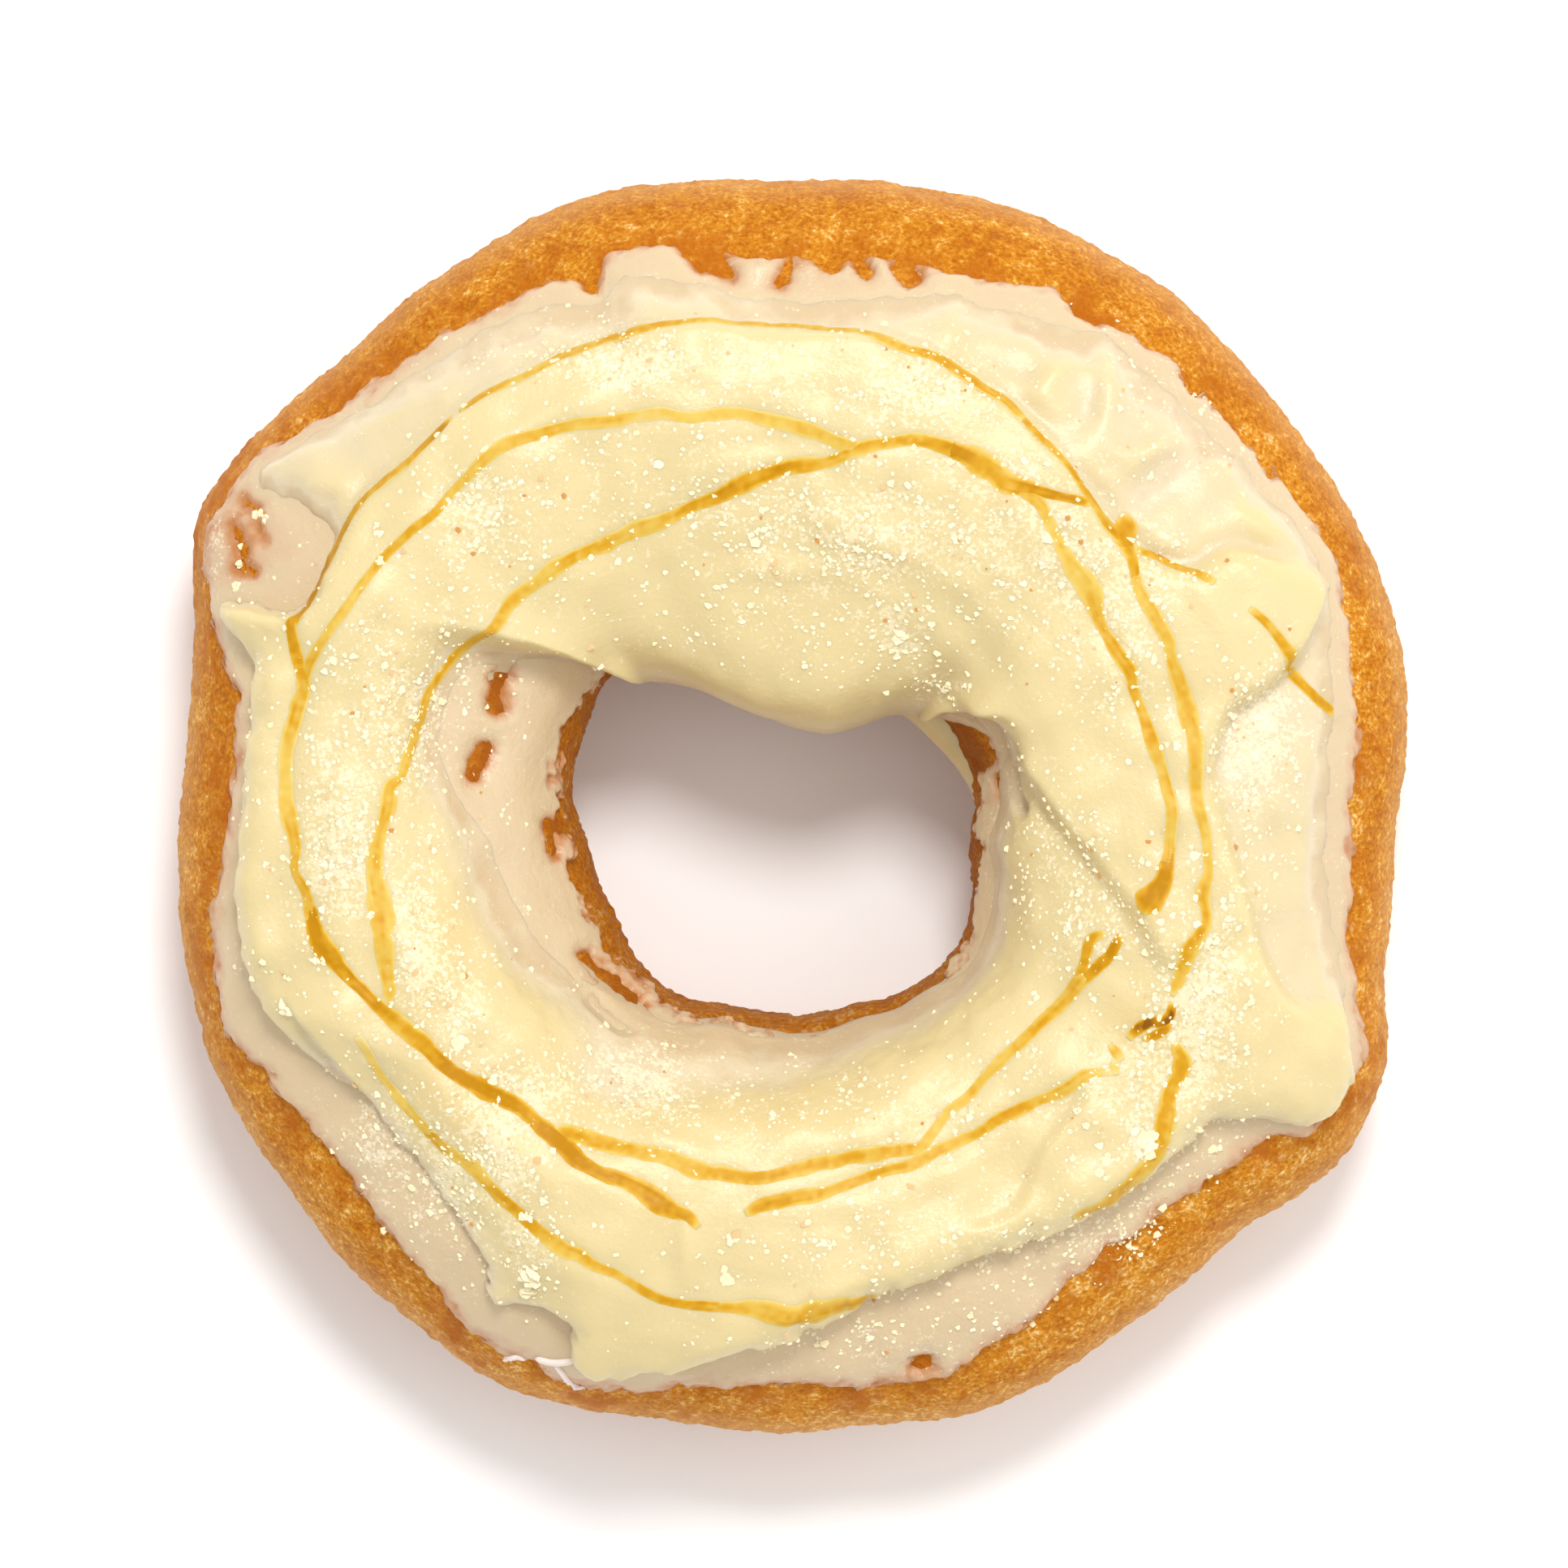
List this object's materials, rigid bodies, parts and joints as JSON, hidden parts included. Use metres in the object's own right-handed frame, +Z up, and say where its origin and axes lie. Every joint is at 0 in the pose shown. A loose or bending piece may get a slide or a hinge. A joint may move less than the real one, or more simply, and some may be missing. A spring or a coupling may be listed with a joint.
{
  "type": "cake doughnut",
  "caption": "Fried ring doughnut with an uneven round outline, a thin pale glaze and a spread swirl of cream icing with caramel drizzle.",
  "frame": {"origin": "centre of the ring's box, on the flat underside", "axes": "+Z up through the hole, +Y towards the top of the picture, +X towards its right"},
  "size_m": [0.0945, 0.0962, 0.0323],
  "materials": {
    "crust": "fried golden crust, matt with a fine grain",
    "glaze": "thin set sugar glaze, satin",
    "icing": "spread cream icing with caramel drizzle, satin"
  },
  "bodies": {
    "root": {"dough": "crust", "glaze": "glaze", "icing": "icing"}
  },
  "joints": []
}
